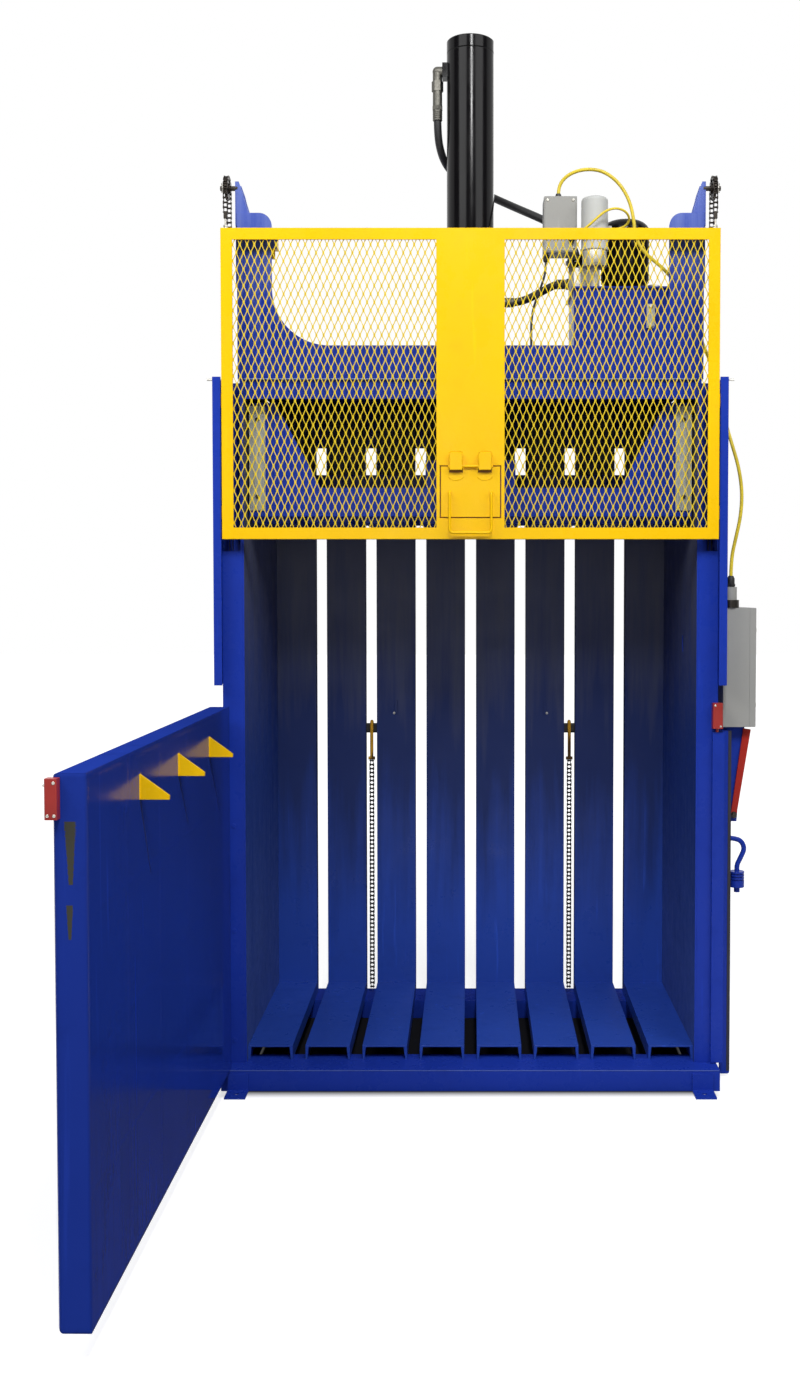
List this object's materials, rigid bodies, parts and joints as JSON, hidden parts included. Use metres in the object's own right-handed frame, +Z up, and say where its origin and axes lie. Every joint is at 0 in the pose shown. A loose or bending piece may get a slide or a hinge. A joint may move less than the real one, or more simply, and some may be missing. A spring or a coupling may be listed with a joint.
{
  "type": "recycling baler",
  "caption": "Vertical baler: press chamber with slotted floor and back, swing door, counterbalanced mesh gate, hydraulic platen and power unit on top",
  "frame": {"origin": "on the floor, at the middle of the four anchor holes, which is the middle of the chamber", "axes": "+X to the operator's right, +Y from the operator to the back, +Z up"},
  "size_m": [1.8966, 2.6498, 3.65],
  "materials": {
    "blue_paint": "gloss blue enamel",
    "yellow_paint": "gloss safety yellow",
    "red_plastic": "red",
    "red_paint": "gloss red",
    "black_paint": "gloss black",
    "grey_paint": "hammered grey",
    "bare_steel": "ground",
    "zinc": "zinc plated",
    "gold_hook": "gold lacquer",
    "chain_steel": "oiled dark steel",
    "pale_filter": "pale grey",
    "chrome_rod": "hard chrome",
    "black_rubber": "matt black",
    "yellow_rubber": "matt yellow",
    "green_plastic": "green"
  },
  "bodies": {
    "frame": {"back_slat_1": "blue_paint", "back_slat_2": "blue_paint", "back_slat_3": "blue_paint", "back_slat_4": "blue_paint", "back_slat_5": "blue_paint", "back_slat_6": "blue_paint", "back_slat_7": "blue_paint", "back_slat_8": "blue_paint", "base_frame": "blue_paint", "control_box": "grey_paint", "control_cord": "yellow_rubber", "cylinder": "black_paint", "door_switch": "red_plastic", "ejector_chains": "chain_steel", "ejector_hooks": "gold_hook", "floor_channel_1": "blue_paint", "floor_channel_2": "blue_paint", "floor_channel_3": "blue_paint", "floor_channel_4": "blue_paint", "floor_channel_5": "blue_paint", "floor_channel_6": "blue_paint", "floor_channel_7": "blue_paint", "floor_channel_8": "blue_paint", "front_post_left": "blue_paint", "front_post_right": "blue_paint", "gate_chain_left": "chain_steel", "gate_chain_right": "chain_steel", "guide_rail_left": "blue_paint", "guide_rail_right": "blue_paint", "header_deck": "blue_paint", "header_yoke": "blue_paint", "interlock_switch": "blue_paint", "junction_box": "grey_paint", "latch_channel": "blue_paint", "oil_filter": "pale_filter", "oil_tank": "blue_paint", "pressure_hose": "black_rubber", "pump_motor": "black_paint", "return_hose": "black_rubber", "side_wall_left": "blue_paint", "side_wall_right": "blue_paint", "valve_cable": "black_rubber", "valve_cord": "yellow_rubber"},
    "door": {"door": "blue_paint", "door_actuator": "red_plastic"},
    "gate": {"gate_frame": "yellow_paint", "gate_mesh_left": "yellow_paint", "gate_mesh_right": "yellow_paint"},
    "flap": {"gate_flap": "yellow_paint"},
    "platen": {"platen": "blue_paint", "wear_strips": "bare_steel", "ram_rod": "chrome_rod"},
    "sprocket_left": {"sprocket_left": "chain_steel"},
    "sprocket_right": {"sprocket_right": "chain_steel"},
    "counterweight_left": {"counterweight_left": "bare_steel"},
    "counterweight_right": {"counterweight_right": "bare_steel"},
    "latch_lever": {"latch_lever": "red_paint"},
    "lid": {"control_lid": "grey_paint"},
    "start_button": {"start_button": "green_plastic"},
    "stop_button": {"stop_button": "red_plastic"}
  },
  "joints": [
    {"name": "door_hinge", "type": "hinge", "parent": "frame", "child": "door", "pos_m": [-0.842, -0.431, 0.66], "axis": [0, 0, 1], "range_deg": [-89.5, 90.5]},
    {"name": "gate_slide", "type": "slide", "parent": "frame", "child": "gate", "axis": [0, 0, 1], "range_m": [-0.545, 0], "deforming": ["gate_chain_left", "gate_chain_right"]},
    {"name": "flap_hinge", "type": "hinge", "parent": "gate", "child": "flap", "pos_m": [0, -0.4503, 2.088], "axis": [1, 0, 0], "range_deg": [-60, 0]},
    {"name": "platen_slide", "type": "slide", "parent": "frame", "child": "platen", "axis": [0, 0, 1], "range_m": [-1.219, 0]},
    {"name": "sprocket_left_spin", "type": "hinge", "parent": "frame", "child": "sprocket_left", "pos_m": [-0.812, -0.38, 3.018], "axis": [1, 0, 0], "range_deg": [0, 876]},
    {"name": "sprocket_right_spin", "type": "hinge", "parent": "frame", "child": "sprocket_right", "pos_m": [0.812, -0.38, 3.018], "axis": [1, 0, 0], "range_deg": [0, 876]},
    {"name": "counterweight_left_slide", "type": "slide", "parent": "frame", "child": "counterweight_left", "axis": [0, 0, 1], "range_m": [0, 0.545]},
    {"name": "counterweight_right_slide", "type": "slide", "parent": "frame", "child": "counterweight_right", "axis": [0, 0, 1], "range_m": [0, 0.545]},
    {"name": "latch_lever_hinge", "type": "hinge", "parent": "frame", "child": "latch_lever", "pos_m": [0.906, -0.307, 0.905], "axis": [0, 1, 0], "range_deg": [0, 75]},
    {"name": "lid_hinge", "type": "hinge", "parent": "frame", "child": "lid", "pos_m": [0.95, -0.044, 1.415], "axis": [0, 0, 1], "range_deg": [0, 110]},
    {"name": "start_button_press", "type": "slide", "parent": "lid", "child": "start_button", "axis": [1, 0, 0], "range_m": [-0.004, 0], "stiffness_N_per_m": 400},
    {"name": "stop_button_press", "type": "slide", "parent": "lid", "child": "stop_button", "axis": [1, 0, 0], "range_m": [-0.004, 0], "stiffness_N_per_m": 600}
  ],
  "couplings": [
    {"joint": "sprocket_left_spin", "follows": "gate_slide", "rad_per_m": -28.034},
    {"joint": "sprocket_right_spin", "follows": "gate_slide", "rad_per_m": -28.034},
    {"joint": "counterweight_left_slide", "follows": "gate_slide", "ratio": -1},
    {"joint": "counterweight_right_slide", "follows": "gate_slide", "ratio": -1}
  ]
}
